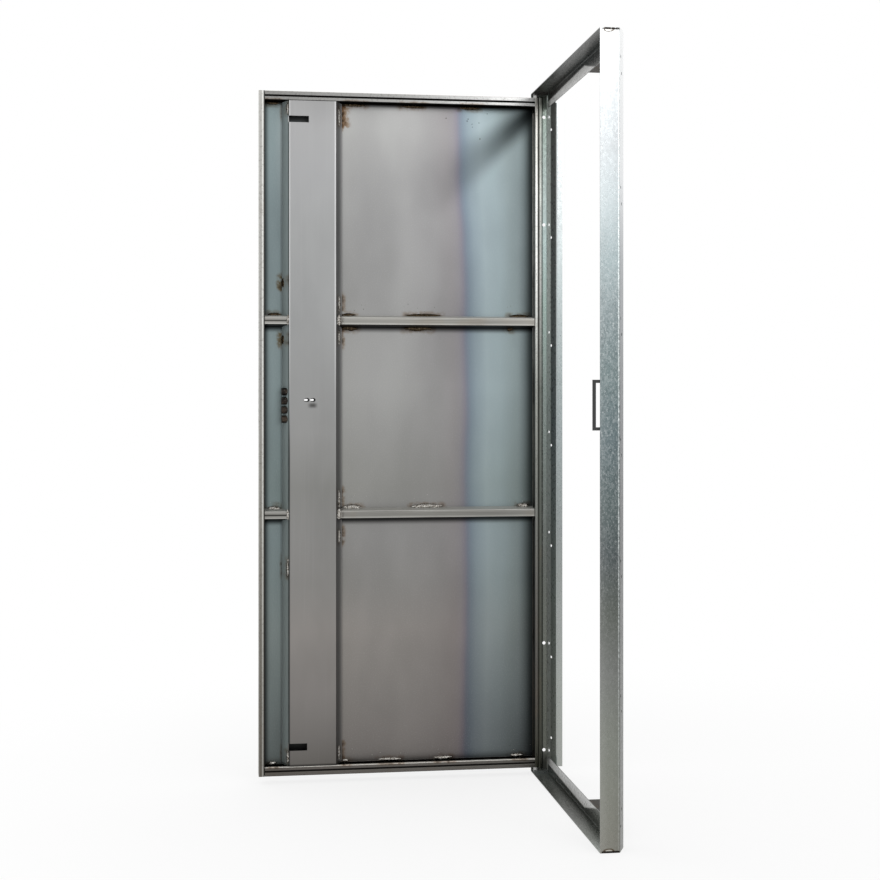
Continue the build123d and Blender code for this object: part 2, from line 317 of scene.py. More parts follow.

# Painted light and shade on the raw sheet from the leaf's bottom to its top: browner and darker below,
# lighter towards the top
sheet_painted_light = [
    (0.00, (0.300, 0.280, 0.265, 1)), (0.05, (0.360, 0.335, 0.320, 1)),
    (0.12, (0.440, 0.415, 0.395, 1)), (0.21, (0.530, 0.500, 0.475, 1)),
    (0.28, (0.510, 0.500, 0.485, 1)), (0.35, (0.540, 0.535, 0.530, 1)),
    (0.42, (0.520, 0.520, 0.500, 1)), (0.50, (0.580, 0.580, 0.570, 1)),
    (0.57, (0.640, 0.640, 0.635, 1)), (0.70, (0.610, 0.610, 0.610, 1)),
    (0.80, (0.640, 0.640, 0.645, 1)), (0.88, (0.730, 0.730, 0.735, 1)),
    (0.95, (0.860, 0.860, 0.860, 1)), (1.00, (0.860, 0.860, 0.860, 1)),
]

# The same painted light and shade for the lock channel
channel_painted_light = [
    (0.00, (0.235, 0.220, 0.200, 1)), (0.05, (0.330, 0.312, 0.295, 1)),
    (0.12, (0.445, 0.420, 0.400, 1)), (0.21, (0.520, 0.492, 0.465, 1)),
    (0.28, (0.475, 0.464, 0.445, 1)), (0.35, (0.495, 0.490, 0.475, 1)),
    (0.42, (0.475, 0.475, 0.455, 1)), (0.50, (0.590, 0.590, 0.580, 1)),
    (0.57, (0.605, 0.610, 0.605, 1)), (0.70, (0.680, 0.690, 0.690, 1)),
    (0.80, (0.735, 0.745, 0.745, 1)), (0.88, (0.740, 0.745, 0.755, 1)),
    (0.95, (0.770, 0.770, 0.775, 1)), (1.00, (0.690, 0.690, 0.690, 1)),
]

# Painted light and shade on the galvanised jambs from floor to top
upright_painted_light = [
    (0.00, "83827a"), (0.08, "82847c"), (0.14, "80837c"), (0.22, "757774"),
    (0.29, "60645f"), (0.36, "555c5d"), (0.42, "5f6a6a"), (0.50, "687578"),
    (0.58, "717f80"), (0.66, "848f91"), (0.72, "95a1a3"), (0.79, "a5adaf"),
    (0.86, "aaaeb0"), (0.92, "b6babc"), (1.00, "cdd0d1"),
]


def heat_tint(look, colour, mask, strength=0.45, burn=0.55):
    """Straw and brown heat colours that spread from a weld into the sheet, broken up by noise."""
    broken = look.spread(look.noise(45, detail=4, rough=0.65), 0.15, 1.2)
    heat = look.times(mask, broken)
    straw = look.times(look.fade(heat, 0.05, 0.6), strength)
    tinted = look.mix(colour, "bf9a70", straw, "MULTIPLY")
    core = look.fade(heat, 0.5, 1.0)
    return look.mix(tinted, "26211d", look.times(core, burn))


def head_reflection_streak(look):
    """Painted reflection of the head: a dark streak that starts in the top hinge corner and widens and fades
    as it slants down.
    """
    corner_y = -0.030
    corner_z = 1.993
    slant_y = -0.726
    slant_z = -0.688
    length = 0.4
    core = -0.006
    from_y = look.minus(look.y, corner_y)
    from_z = look.minus(look.z, corner_z)
    along = look.plus(look.times(from_y, slant_y), look.times(from_z, slant_z))
    across = look.minus(look.times(from_y, slant_z), look.times(from_z, slant_y))
    upper_edge = look.share(along, 0.0, length, 0.034, 0.150)
    lower_edge = look.share(along, 0.0, length, -0.050, -0.075)
    above = look.fade(across, 0.0, upper_edge, 1.0, 0.0)
    below = look.fade(across, lower_edge, core)
    ends = look.ramp(look.share(along, -0.05, 0.45), [
        (0.00, 0.95), (0.16, 0.88), (0.35, 0.66), (0.58, 0.38),
        (0.80, 0.20), (1.00, BLACK),
    ])
    return look.times(above, below, ends)


def painted_reflection_bands(look):
    """Grey sheet with painted reflections in blue bands along its sides, which sway a little and drift
    towards the top.
    """
    sway_share = 0.040
    drift_share = 0.024
    drift_start = 1.35
    drift_end = 1.95
    wave = look.minus(look.noise(1.9, detail=3, stretch=(1, 0.3, 1.5)), noise_middle)
    drift = look.fade(look.z, drift_start, drift_end, 0.0, drift_share)
    width = look.plus(look.along_width(), look.minus(look.times(wave, sway_share), drift))
    # Painted light and shade by height, multiplied into the painted reflection bands
    tone = look.ramp(look.along_height(), sheet_painted_light)
    colour = look.mix(look.ramp(width, reflection_bands_across), tone, 1.0, "MULTIPLY")
    # The painted reflection bands turn darker and bluer low on the sheet
    low_band_darkening = look.times(look.fade(look.along_height(), 0.34, 0.05), look.fade(width, 0.29, 0.25))
    return look.mix(colour, "20283a", look.times(low_band_darkening, 0.22))


def sheet_shade(look, colour):
    """Painted shade on the sheet behind the channel and along the edges of what stands on it, and a painted
    reflection in the streak.
    """
    shade_half = 0.078
    shade_soft = 0.010
    # Painted shade on the sheet behind the channel
    behind = look.band(look.y, channel_middle, shade_half, shade_soft)
    colour = look.mix(colour, "141414", look.times(behind, 0.8))
    # Painted reflection of the head as a dark streak
    colour = look.mix(colour, "15191a", head_reflection_streak(look))
    # Painted shade along edges: value, line, reach and strength
    for value, line, reach, strength in (
        (look.y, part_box("lock_stile")[1].y, 0.016, 0.80),
        (look.y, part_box("hinge_stile")[0].y, 0.048, 0.62),
        (look.z, top_rail_line, 0.011, 0.85),
        (look.z, under_stiffener_line, 0.018, 0.90),
        (look.z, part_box("lower_stiffener")[0].z, 0.018, 0.90),
        (look.y, channel_high.y, 0.006, 0.30),
        (look.y, channel_low.y, 0.008, 0.35),
    ):
        colour = look.shade_line(colour, value, line, reach, strength)
    return colour


def sheet_heat(look, colour):
    """Heat colours around the welds that reach the sheet, level ones first and then upright ones."""
    soft = 0.02
    for runs, line, reach in (
        (upper_stiffener_runs, upper_stiffener_line, 0.022),
        (lower_stiffener_runs, lower_stiffener_line, 0.024),
        (short_stiffener_runs, lower_stiffener_line, 0.030),
        (short_stiffener_runs, upper_stiffener_line, 0.024),
        (under_stiffener_runs, under_stiffener_line, 0.028),
        (top_rail_runs, top_rail_line, 0.024),
        (bottom_rail_runs, bottom_rail_line, 0.024),
    ):
        colour = heat_tint(look, colour, look.run_mask(look.y, look.z, runs, line, reach, soft))
    for runs, line, reach, strength in (
        (hinge_bend_runs, channel_high.y, 0.018, 0.60),
        (free_bend_runs, channel_low.y, 0.012, 0.35),
        (free_foot_runs, channel_low.y, 0.026, 0.90),
        (hinge_bend_runs[-1:], channel_high.y, 0.036, 0.80),
    ):
        mask = look.run_mask(look.z, look.y, runs, line, reach, soft)
        colour = heat_tint(look, colour, mask, strength, burn=0.6)
    return colour


def sheet_look():
    """Raw annealed sheet: painted reflections in blue bands on both faces; painted shade, a painted
    reflection streak and heat colours on the inner one.
    """
    look = Look("annealed_sheet")
    cloud = look.noise(4, detail=3, rough=0.55, stretch=(1, 1, 0.5))
    fine = look.noise(320, rough=0.6)
    plain = look.mix(painted_reflection_bands(look), BLACK, look.fade(cloud, 0.35, 0.75, 0.0, 0.14))
    plain = look.mix(plain, WHITE, look.fade(fine, 0.5, 0.8, 0.0, 0.05))
    marked = sheet_heat(look, sheet_shade(look, plain))
    inner = look.fade(look.facing_x, -0.2, 0.2)
    look.bump(look.plus(look.noise(2.5), look.times(fine, 0.01)), strength=0.10, distance=0.004)
    return look.finish(look.mix(plain, marked, inner), look.spread(cloud, 0.36, 0.46))


def channel_walls(look, tone, free_wall):
    """Painted light and shade on the channel: its face, its free wall painted pale and its hinge wall in
    painted shade, darkest at its bend.
    """
    face = look.mix("bababa", tone, 1.0, "MULTIPLY")
    # Painted light on the free wall, and painted shade on the hinge wall that lightens towards its base
    pale = look.mix("a9b6b6", tone, 0.6, "MULTIPLY")
    depth = look.share(look.x, channel_low.x, channel_high.x)
    shaded = look.ramp(depth, [(0.0, 0.42), (0.25, 0.22), (0.5, 0.10), (1.0, 0.075)])
    dark = look.mix(shaded, tone, 0.8, "MULTIPLY")
    hinge_wall = look.fade(look.facing_y, 0.3, 0.6)
    return look.mix(look.mix(face, pale, free_wall), dark, hinge_wall)


def channel_bends(look, colour, free_wall):
    """Painted highlights along the bends in the upper half, and painted shade along the free bend below, on
    the free wall next to its bend and at the foot.
    """
    highlight_half = 0.0014
    highlight_soft = 0.0010
    hinge_highlight_inset = 0.003
    dark_half = 0.0010
    dark_soft = 0.0020
    highlight_start, highlight_full = 1.00, 1.45
    dark_start, dark_full = 1.10, 0.95
    crease_start, crease_full = 0.010, 0.004
    foot_start, foot_full = 0.008, 0.003
    shade_strength = 0.6
    face = look.fade(look.facing_x, 0.5, 0.8)
    high = look.fade(look.z, highlight_start, highlight_full)
    # Painted highlights along the bends, upper half only
    for line, strength in ((free_bend, 0.75), (hinge_bend - hinge_highlight_inset, 0.30)):
        bend_highlight = look.times(look.band(look.y, line, highlight_half, highlight_soft), face, high)
        colour = look.mix(colour, 0.95, look.times(bend_highlight, strength))
    # Painted shade along the free bend, on the free wall next to it and at the foot
    low = look.fade(look.z, dark_start, dark_full)
    dark_bend = look.times(look.band(look.y, free_bend, dark_half, dark_soft), low)
    colour = look.mix(colour, BLACK, look.times(dark_bend, shade_strength))
    bend_crease_shade = look.fade(look.x, channel_high.x - crease_start, channel_high.x - crease_full)
    colour = look.mix(colour, BLACK, look.times(bend_crease_shade, free_wall, shade_strength))
    foot = look.fade(look.z, channel_low.z + foot_start, channel_low.z + foot_full)
    return look.mix(colour, BLACK, look.times(foot, shade_strength))


def channel_burns(look, colour):
    """Heat colours on the channel's walls at its welds, and a dark patch on its face by the keyhole."""
    burn_reach = 0.024
    burn_soft = 0.012
    keyhole_dark_y = -0.688
    keyhole_dark_z = 1.108
    walls = look.fade(look.facing_x, 0.85, 0.60)
    for runs, line in (
        (free_bend_runs, free_bend),
        (hinge_bend_runs, hinge_bend),
        (free_foot_runs, free_bend),
    ):
        mask = look.run_mask(look.z, look.y, runs, line, burn_reach, burn_soft)
        colour = heat_tint(look, colour, look.times(mask, walls), strength=0.5, burn=0.85)
    keyhole_dark = look.times(look.band(look.y, keyhole_dark_y, 0.003, 0.015), look.band(look.z, keyhole_dark_z, 0.001, 0.010))
    return look.mix(colour, "2e2c2a", look.times(keyhole_dark, 0.75))


def channel_look():
    """Bare folded sheet of the lock channel, clouded and drawn lengthways."""
    look = Look("folded_channel")
    # Painted light and shade by height
    tone = look.ramp(look.along_height(), channel_painted_light)
    free_wall = look.fade(look.facing_y, -0.3, -0.6)
    cloud = look.noise(5, detail=3, rough=0.55, stretch=(1, 1, 0.4))
    drawn = look.noise(40, detail=3, rough=0.6, stretch=(1, 3.0, 0.05))
    colour = channel_walls(look, tone, free_wall)
    colour = look.mix(colour, BLACK, look.fade(cloud, 0.35, 0.75, 0.0, 0.12))
    colour = look.mix(colour, WHITE, look.fade(drawn, 0.5, 0.85, 0.0, 0.02))
    colour = channel_burns(look, channel_bends(look, colour, free_wall))
    metallic = look.fade(look.facing_x, 0.5, 0.75, 0.15, 1.0)
    look.bump(look.plus(cloud, look.times(drawn, 0.02)), strength=0.10, distance=0.003)
    return look.finish(colour, look.spread(cloud, 0.34, 0.46), metallic)


def stiffener_look(name, node, centre_line):
    """Bare cross stiffener: a creased crown with painted highlights and painted shade in its crease, a pale
    painted-lit upper flank and a lower flank in painted deep shade.
    """
    crown_half = 0.011
    warp = 0.0012
    burn_inset = 0.006
    look = Look(name)
    low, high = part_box(node)
    middle = (low.z + high.z) / 2
    warped = look.plus(look.z, look.times(look.noise(3), warp))
    across = look.share(warped, middle - crown_half, middle + crown_half)
    # Painted highlights along both edges of the crown
    crown = look.ramp(across, [
        (0.00, "cfceca"), (0.10, "c3c2bd"), (0.26, "a3a29d"), (0.42, "908f8a"),
        (0.55, "9c9b96"), (0.66, "8f8e89"), (0.78, "aba9a4"), (0.88, "9b9a95"),
        (1.00, "c6c5c0"),
    ])
    # Painted shade in the crown's middle crease, as strong as centre_line says
    crease = look.band(across, 0.52, 0.06, 0.05)
    crown = look.mix(crown, "2a2824", look.times(crease, centre_line))
    drawn = look.noise(90, detail=3, rough=0.6, stretch=(1, 0.04, 1.5))
    crown = look.mix(crown, BLACK, look.fade(drawn, 0.45, 0.75, 0.0, 0.25))
    crown = look.mix(crown, "9a8f80", look.fade(look.noise(9, detail=3), 0.5, 0.75, 0.0, 0.35))
    # Painted light on the upper flank and painted deep shade on the lower one
    upper = look.fade(look.facing_z, 0.3, 0.6)
    lower = look.fade(look.facing_z, -0.3, -0.6)
    colour = look.mix(look.mix(crown, "b3b2ac", upper), "0d0c0a", lower)
    at_channel = look.band(look.y, hinge_bend + burn_inset, 0.010, 0.012)
    burnt = look.times(look.fade(look.noise(120, detail=3), 0.4, 0.6), at_channel)
    colour = look.mix(colour, "352c24", look.times(burnt, 0.7))
    # Painted shade: darker lower down on the leaf
    colour = look.mix(BLACK, colour, look.share(look.z, 0.7, 1.4, 0.70, 0.92))
    look.bump(look.plus(across, look.times(drawn, 0.4)), strength=0.12, distance=0.001)
    metallic = look.fade(upper, 0.0, 1.0, 1.0, 0.2)
    return look.finish(colour, look.spread(drawn, 0.30, 0.44), metallic)


def edge_surface(look, colour):
    """Oxide specks, brown stains and fine grain shared by the rolled edge profiles."""
    speck, from_middle = look.cells(300)
    colour = look.mix(colour, "4a443c", look.fade(speck, 0.75, 1.0, 0.0, 0.28))
    stain = look.noise(14, detail=4, rough=0.65, stretch=(1, 1, 0.4))
    colour = look.mix(colour, "6a5c4c", look.fade(stain, 0.55, 0.8, 0.0, 0.30))
    look.bump(look.plus(look.noise(160, detail=3), from_middle), strength=0.06, distance=0.0005)
    return colour, look.spread(stain, 0.28, 0.44)


def groove_shade(look, colour, value, line, depth, soft):
    """Blackens the groove of a profile as strongly as depth says."""
    return look.mix(colour, "171512", look.times(look.band(value, line, groove_half, soft), depth))


def lock_stile_look():
    """Stile of the free edge: painted highlights on its outer corner and along a bright line, stronger
    towards the top, and painted shade in a dark inner margin.
    """
    look = Look("lock_stile_edge")
    low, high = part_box("lock_stile")
    # Painted light and shade by height: darker towards the floor
    tone = look.ramp(look.along_height(), [
        (0.00, "605c55"), (0.20, "706d66"), (0.45, "8a8882"), (0.60, "949390"),
        (0.75, "a3a29e"), (1.00, "b4b3af"),
    ])
    inward = look.share(look.y, low.y, high.y)
    # Painted highlights on the outer corner and along a line near the inner side
    bright = look.larger(look.fade(inward, 0.16, 0.02), look.band(inward, 0.66, 0.09, 0.06))
    highlight_by_height = look.fade(look.along_height(), 0.0, 0.8, 0.22, 0.65)
    colour = look.mix(tone, "f0f0ec", look.times(bright, highlight_by_height))
    # Painted shade along the inner margin
    margin = look.times(look.fade(inward, 0.80, 0.88), 0.88)
    colour, roughness = edge_surface(look, look.mix(colour, "1f2120", margin))
    return look.finish(colour, roughness)


def hinge_stile_look():
    """Stile of the hinge edge with painted light: a bright inner strip and a duller outer one, both painted
    dark towards the floor, with painted shade in the groove.
    """
    strip_soft = 0.001
    groove_soft = 0.0010
    look = Look("hinge_stile_edge")
    low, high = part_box("hinge_stile")
    # Painted light and shade by height on the two strips
    inner = look.ramp(look.along_height(), [
        (0.000, "46473e"), (0.103, "54524e"), (0.265, "676662"), (0.414, "7c7e79"),
        (0.564, "979993"), (0.713, "cbccc8"), (0.847, "dcded9"), (1.000, "b2b0a9"),
    ])
    outer = look.ramp(look.along_height(), [
        (0.000, "45463f"), (0.265, "52544e"), (0.414, "5c605b"), (0.564, "6a6e69"),
        (0.713, "979895"), (0.847, "a6a9a4"), (1.000, "8c8f88"),
    ])
    groove = (low.y + high.y) / 2
    colour = look.mix(inner, outer, look.fade(look.y, groove - strip_soft, groove + strip_soft))
    depth = look.fade(look.along_height(), 0.1, 0.9, 0.30, 0.80)
    grooved = groove_shade(look, colour, look.y, groove, depth, groove_soft)
    colour, roughness = edge_surface(look, grooved)
    return look.finish(colour, roughness)


def rail_look(name, node, groove, along, groove_depth):
    """Top or bottom rail: painted light runs along it, with a dark groove, painted black shade in its recess
    and underside, and a painted-lit pale top face.
    """
    groove_soft = 0.0012
    top_start, top_full = 0.006, 0.002
    recess_start, recess_full = 0.004, 0.007
    burn_reach = 0.008
    burn_soft = 0.012
    look = Look(name)
    low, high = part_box(node)
    tone = look.ramp(look.along_width(), along)
    colour = groove_shade(look, tone, look.z, groove, groove_depth, groove_soft)
    at_top = look.fade(look.z, high.z - top_start, high.z - top_full)
    upper = look.times(look.fade(look.facing_z, 0.4, 0.7), at_top)
    behind_face = look.fade(look.x, high.x - recess_start, high.x - recess_full)
    recess = look.times(behind_face, look.fade(upper, 1.0, 0.0))
    hidden = look.larger(look.fade(look.facing_z, -0.4, -0.7), recess)
    # Painted black shade in the recess and on the underside
    colour = look.mix(colour, "0d0c0b", hidden)
    # Painted light on the top face
    lit = look.ramp(look.share(look.x, low.x, high.x), [
        (0.00, "7d7973"), (0.60, "8a857e"), (0.80, "a39f98"), (0.90, "f2eee6"),
        (1.00, "f4f1ea"),
    ])
    colour = look.mix(colour, lit, upper)
    for runs, line in ((top_rail_runs, top_rail_line), (bottom_rail_runs, bottom_rail_line)):
        colour = heat_tint(look, colour, look.run_mask(look.y, look.z, runs, line, burn_reach, burn_soft))
    colour, roughness = edge_surface(look, colour)
    return look.finish(colour, look.larger(roughness, hidden), look.fade(upper, 0.0, 1.0, 1.0, 0.1))


def zinc_finish(look, colour, contrast, metallic):
    """Spangle of hot-dip zinc over a colour: small crystals, vertical mottling and bright specks."""
    crystal, _ = look.cells(260, stretch=(1, 1, 0.6))
    grain = look.noise(380, detail=4, rough=0.75, stretch=(1, 1, 0.7))
    cloud = look.noise(20, detail=4, rough=0.65, stretch=(1, 1, 0.3))
    for value, low, high, tone, strength in (
        (crystal, 0.5, 1.0, WHITE, 0.07),
        (crystal, 0.5, 0.0, BLACK, 0.10),
        (cloud, 0.42, 0.75, BLACK, 0.12),
        (cloud, 0.42, 0.20, WHITE, 0.08),
        (grain, 0.55, 0.68, WHITE, 0.30),
        (grain, 0.46, 0.34, BLACK, 0.22),
    ):
        amount = look.fade(value, low, high, 0.0, strength)
        colour = look.mix(colour, tone, look.times(amount, contrast))
    look.bump(look.plus(look.times(grain, 0.4), crystal), strength=0.05, distance=0.0006)
    return look.finish(colour, look.share(crystal, 0.0, 1.0, 0.26, 0.38), metallic)


def on_lock_web(look):
    """One on the web of the lock jamb."""
    web_start, web_full = 0.40, 0.42
    return look.fade(look.x, web_start, web_full)


def end_mark(look, colour, level, inward):
    """Corner weld that comes through at one end of the lock jamb's web: a burnt ring and a black seam."""
    blob_y = -0.003
    blob_inset = 0.002
    blob_half_width = 0.013
    blob_half_height = 0.0070
    seam_y = 0.002
    seam_half_width = 0.021
    seam_half_height = 0.0022
    near = on_lock_web(look)
    side = look.maths("DIVIDE", look.minus(look.y, blob_y), blob_half_width)
    rise = look.maths("DIVIDE", look.minus(look.z, level + inward * blob_inset), blob_half_height)
    wobble = look.plus(look.length(side, rise), look.times(look.noise(90, detail=3), 0.5))
    filled = look.times(look.fade(wobble, 1.0, 0.8), near)
    colour = look.mix(colour, "dcd6cc", look.times(filled, 0.5))
    ring = look.times(look.band(wobble, 1.18, 0.10, 0.16), near)
    colour = look.mix(colour, "4a3a28", look.times(ring, 0.85))
    broken = look.fade(look.noise(110, detail=3, rough=0.7), 0.34, 0.46)
    seam_rows = look.band(look.z, level, seam_half_height, 0.0020)
    seam_width = look.band(look.y, seam_y, seam_half_width, 0.004)
    return look.mix(colour, "1c1815", look.times(seam_rows, seam_width, broken, near))


def hinge_strips(look, colour, height, front):
    """Painted light and shade on the hinge jamb's faces towards the doorway: the rebate's muted tone by
    height, a line of painted shade at the leaf, painted highlights on the lip's bend and rim.
    """
    rebate_edge = 0.032
    edge_soft = 0.004
    leaf_line = 0.0080
    leaf_line_half = 0.0032
    leaf_line_soft = 0.0015
    lip_bend = 0.0425
    lip_bend_half = 0.0012
    lip_bend_soft = 0.0014
    rim_start, rim_full = 0.0035, 0.0015
    rebate = look.times(front, look.fade(look.y, rebate_edge, rebate_edge - edge_soft))
    # Painted light and shade on the rebate by height
    rebate_tone = look.ramp(height, [
        (0.00, "6d6e68"), (0.06, "5f625b"), (0.20, "696c66"), (0.32, "656965"),
        (0.45, "707874"), (0.55, "7a8480"), (0.69, "889993"), (0.77, "94a3a1"),
        (0.84, "8f9a98"), (0.95, "7a857f"), (1.00, "70776f"),
    ])
    colour = look.mix(colour, rebate_tone, rebate)
    # Painted shade in the gap along the leaf's hinge edge
    beside_leaf = look.band(look.y, leaf_line, leaf_line_half, leaf_line_soft)
    darkness = look.fade(look.z, 0.9, 1.7, 0.85, 0.65)
    colour = look.mix(colour, "1b1d18", look.times(beside_leaf, darkness, rebate))
    # Painted highlights along the lip's bend, stronger towards the top, and on its rim near the top
    lip = look.times(front, look.fade(look.y, rebate_edge, rebate_edge + edge_soft))
    highlight_by_height = look.fade(height, 0.0, 0.5, 0.30, 0.85)
    highlight_strength = look.times(look.band(look.y, lip_bend, lip_bend_half, lip_bend_soft), highlight_by_height, lip)
    colour = look.mix(colour, "eef4f3", highlight_strength)
    rim = look.fade(look.y, cad_high.y - rim_start, cad_high.y - rim_full)
    return look.mix(colour, "c4c7c5", look.times(rim, look.fade(height, 0.75, 0.92), lip, 0.8))


def hinge_stop(look, colour, height, stop):
    """Stop of the hinge jamb: painted shade by height, and painted light along its root, brightest high up.
    """
    root_start = -0.4085
    root_end = -0.4135
    stop_tone = look.ramp(height, [(0.0, "7f837c"), (0.25, "737a75"), (0.5, "5b6566"), (1.0, "666764")])
    root_tone = look.ramp(height, [(0.0, "a8aca4"), (0.3, "aeb4b0"), (0.55, "c6d2ce"), (0.7, "eef6f2")])
    root = look.fade(look.x, root_start, root_end)
    return look.mix(colour, look.mix(stop_tone, root_tone, root), stop)


def lock_back(look, colour, height):
    """Painted light on the indoor faces of the lock jamb: nearly white at the top and dark below the middle.
    """
    jamb_start, jamb_full = 0.36, 0.38
    back = look.times(look.fade(look.facing_y, 0.3, 0.6), look.fade(look.x, jamb_start, jamb_full))
    back_tone = look.ramp(height, [
        (0.00, "63645f"), (0.20, "4f524e"), (0.40, "3a3e3f"), (0.56, "5c6063"),
        (0.72, "9da1a4"), (0.82, "e4e6e7"), (1.00, "f6f7f7"),
    ])
    return look.mix(colour, back_tone, back)


def lock_bend_highlight(look, colour, height):
    """Painted highlight along the bend of the lock jamb's web: a broken bright line."""
    bend_y = 0.0225
    bend_half = 0.0009
    bend_soft = 0.0016
    bend = look.band(look.y, bend_y, bend_half, bend_soft)
    highlight_breakup = look.noise(230, detail=3, rough=0.6, stretch=(1, 1, 0.6))
    dashes = look.fade(highlight_breakup, 0.44, 0.62, 0.35, 1.0)
    highlight_strength = look.ramp(height, [(0.0, 0.15), (0.2, 0.35), (0.4, 0.72), (0.75, 0.80), (0.9, 0.50)])
    return look.mix(colour, "e6eceb", look.times(bend, dashes, on_lock_web(look), highlight_strength))


def zinc_look():
    """Galvanised jambs with painted light: a painted-pale hinge side with a less metallic stop, and a painted
    highlight on the lock jamb's bend.
    """
    mark_inset = 0.002
    outdoor_y, indoor_y = -0.025, 0.022
    calm_x, full_x = -0.39, -0.37
    look = Look("zinc_upright")
    height = look.share(look.z, 0.0, frame_top)
    hinge_side = look.fade(look.x, 0.1, -0.1)
    front = look.times(hinge_side, look.fade(look.facing_x, 0.5, 0.8))
    stop = look.times(look.fade(look.facing_y, -0.4, -0.8), hinge_side)
    # Tone by height is painted light and shade; faces are a little lighter towards the outdoor side and
    # darker towards the indoor side, and the hinge side is painted paler
    colour = look.ramp(height, upright_painted_light)
    colour = look.mix(colour, WHITE, look.fade(look.y, 0.0, outdoor_y, 0.0, 0.05))
    colour = look.mix(colour, BLACK, look.fade(look.y, 0.0, indoor_y, 0.0, 0.10))
    colour = look.mix(colour, "d8dedd", look.times(hinge_side, 0.32))
    colour = hinge_strips(look, colour, height, front)
    colour = hinge_stop(look, colour, height, stop)
    colour = lock_back(look, colour, height)
    colour = lock_bend_highlight(look, colour, height)
    colour = end_mark(look, colour, mark_inset, 1)
    colour = end_mark(look, colour, frame_top - mark_inset, -1)
    spangle = look.ramp(height, [
        (0.00, 0.16), (0.25, 0.26), (0.45, WHITE), (0.68, WHITE),
        (0.80, 0.50), (1.00, 0.20),
    ])
    contrast = look.times(spangle, look.fade(look.x, calm_x, full_x, 0.45, 1.0))
    return zinc_finish(look, colour, contrast, look.fade(stop, 0.0, 1.0, 1.0, 0.25))


def cross_zinc_look(name, web_tones):
    """Galvanised head or sill: a web in painted dark shade, and a stop with a painted reflection as a pale
    strip that ends in a slant.
    """
    level_slope = -0.02
    level_rise = 0.012
    slant_slope = 0.24
    slant_rise = -0.002
    strip_soft = 0.007
    look = Look(name)
    web_shade = look.ramp(look.share(look.x, -cad_high.x, cad_high.x), web_tones)
    from_web = look.maths("MINIMUM", look.z, look.minus(frame_top, look.z))
    level_edge = look.plus(look.times(look.x, level_slope), level_rise)
    slant_edge = look.plus(look.times(look.x, slant_slope), slant_rise)
    strip = look.fade(look.minus(from_web, look.larger(level_edge, slant_edge)), 0.0, strip_soft)
    pale = look.times(strip, look.fade(look.facing_y, -0.5, -0.8))
    colour = look.mix(web_shade, "dededc", pale)
    colour = look.mix(colour, "9aa2a1", look.fade(look.facing_y, 0.5, 0.8))
    return zinc_finish(look, colour, 0.2, look.fade(pale, 0.0, 1.0, 0.6, 0.1))


def scale_look():
    """Dark mill scale on blocks and guide tubes."""
    look = Look("mill_scale")
    patch = look.noise(45, detail=4, rough=0.65)
    colour = look.ramp(patch, [(0.3, "1c1a18"), (0.5, "2d2926"), (0.7, "4a4139")])
    speck, from_middle = look.cells(420)
    colour = look.mix(colour, "8d8377", look.fade(speck, 0.85, 1.0, 0.0, 0.3))
    look.bump(look.plus(patch, from_middle), strength=0.15, distance=0.0006)
    return look.finish(colour, look.spread(patch, 0.38, 0.6))


def plate_look():
    """Burnt brown corner plates behind the stops."""
    look = Look("burnt_plate", metallic=0.3)
    patch = look.noise(30, detail=4, rough=0.65)
    colour = look.ramp(patch, [(0.3, "1a1713"), (0.5, "2b261f"), (0.7, "4b4439")])
    look.bump(patch, strength=0.15, distance=0.0006)
    return look.finish(colour, look.spread(patch, 0.5, 0.7))


def black_look():
    """Matt black coating of the lock guard."""
    look = Look("black_coat", metallic=0.0)
    grain = look.noise(500, detail=3, rough=0.6)
    colour = look.ramp(grain, [(0.3, "161716"), (0.7, "262726")])
    look.bump(grain, strength=0.2, distance=0.0004)
    return look.finish(colour, look.spread(grain, 0.45, 0.6))


def turned_look(name, dark, pale):
    """Turned metal with fine rings."""
    look = Look(name)
    rings = look.noise(900, stretch=(0.15, 0.15, 1.0))
    colour = look.ramp(rings, [(0.3, dark), (0.7, pale)])
    look.bump(rings, strength=0.1, distance=0.0002)
    return look.finish(colour, look.spread(rings, 0.18, 0.32))


def weld_look(name, tones):
    """Weld metal: ripples with brown and blue scale, through the given tones."""
    look = Look(name)
    scale = look.noise(260, detail=4, rough=0.7)
    look.bump(look.noise(600, detail=3, rough=0.6), strength=0.5, distance=0.001)
    return look.finish(look.ramp(scale, tones), look.spread(scale, 0.20, 0.42))


# The webs' tones are painted shade, darkest on the head
head_zinc = cross_zinc_look("zinc_head", [
    (0.0, "3b3a37"), (0.5, "3d3d3a"), (0.85, "484845"), (1.0, "5e5f5b"),
])
sill_zinc = cross_zinc_look("zinc_sill", [
    (0.0, "6d7270"), (0.3, "4a4c47"), (0.6, "494a45"), (0.85, "6b6f67"),
    (1.0, "9aa09a"),
])
plate = plate_look()
# Painted light along the rails: the top rail brighter towards the hinge edge, the bottom rail dark
top_rail = rail_look("top_rail_edge", "top_rail", leaf_top - rail_groove_inset, [
    (0.0, "c9c9c8"), (0.13, "c4c4c3"), (0.30, "b0b0af"), (0.50, "9a9a98"),
    (0.83, "8f8f8d"), (1.0, "8b8a87"),
], groove_depth=0.95)
bottom_rail = rail_look("bottom_rail_edge", "bottom_rail", leaf_bottom + rail_groove_inset, [
    (0.0, "55534f"), (0.13, "605e5a"), (0.50, "605d59"), (0.83, "5f5b57"),
    (1.0, "55514c"),
], groove_depth=0.30)
weld = weld_look("weld_metal", [
    (0.34, "1d1815"), (0.43, "4a423a"), (0.49, "8f8a81"), (0.56, "d6d4cf"),
    (0.66, "5d5957"),
])
burnt_weld = weld_look("burnt_weld", [
    (0.32, "171310"), (0.48, "322a20"), (0.60, "544735"), (0.70, "6e675d"),
])

